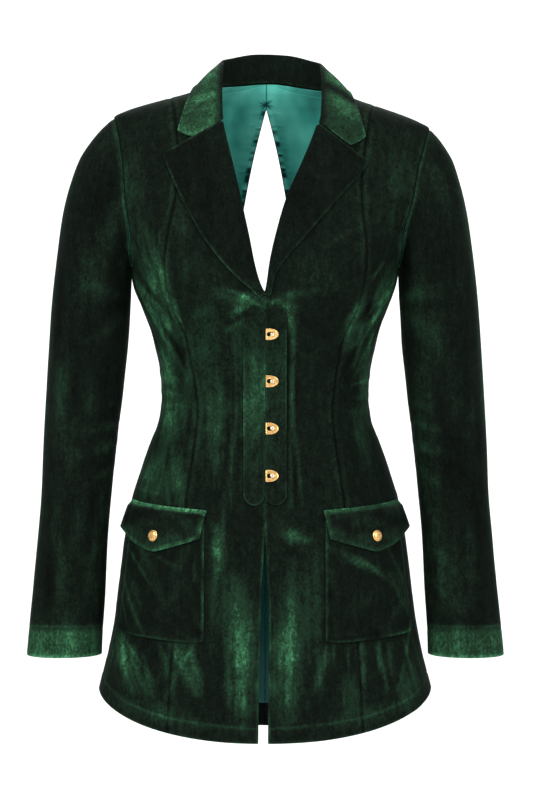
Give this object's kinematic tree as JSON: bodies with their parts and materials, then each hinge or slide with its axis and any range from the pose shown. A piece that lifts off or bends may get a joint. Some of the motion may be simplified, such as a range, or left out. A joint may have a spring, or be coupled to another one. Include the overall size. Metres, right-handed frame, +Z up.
{
  "type": "velvet corset jacket",
  "caption": "Worn, hollow velvet jacket with a busk front, peaked lapels, patch pockets and an open keyhole back.",
  "frame": {"origin": "on the centre plane, at the height of the sides of the neck, between the shoulder seams", "axes": "+Z up, -Y towards the front, +X to the viewer's right when the front is seen"},
  "size_m": [0.5518, 0.2691, 0.7968],
  "materials": {
    "velvet": "dark green stretch velvet, short crushed pile",
    "satin": "teal satin lining with a soft sheen",
    "brass": "polished yellow brass"
  },
  "bodies": {
    "root": {"front_centre_left": "velvet", "front_side_left": "velvet", "back_side_left": "velvet", "back_centre_left": "velvet", "sleeve_left": "velvet", "collar_left": "velvet", "lapel_left": "velvet", "lining_back_left": "satin", "busk_panel_left": "velvet", "pocket_left": "velvet", "pocket_flap_left": "velvet", "snap_left": "brass", "front_centre_right": "velvet", "front_side_right": "velvet", "back_side_right": "velvet", "back_centre_right": "velvet", "sleeve_right": "velvet", "collar_right": "velvet", "lapel_right": "velvet", "lining_back_right": "satin", "busk_panel_right": "velvet", "pocket_right": "velvet", "pocket_flap_right": "velvet", "snap_right": "brass", "busk_loop_1": "brass", "busk_stud_1": "brass", "busk_loop_2": "brass", "busk_stud_2": "brass", "busk_loop_3": "brass", "busk_stud_3": "brass", "busk_loop_4": "brass", "busk_stud_4": "brass"}
  },
  "joints": []
}
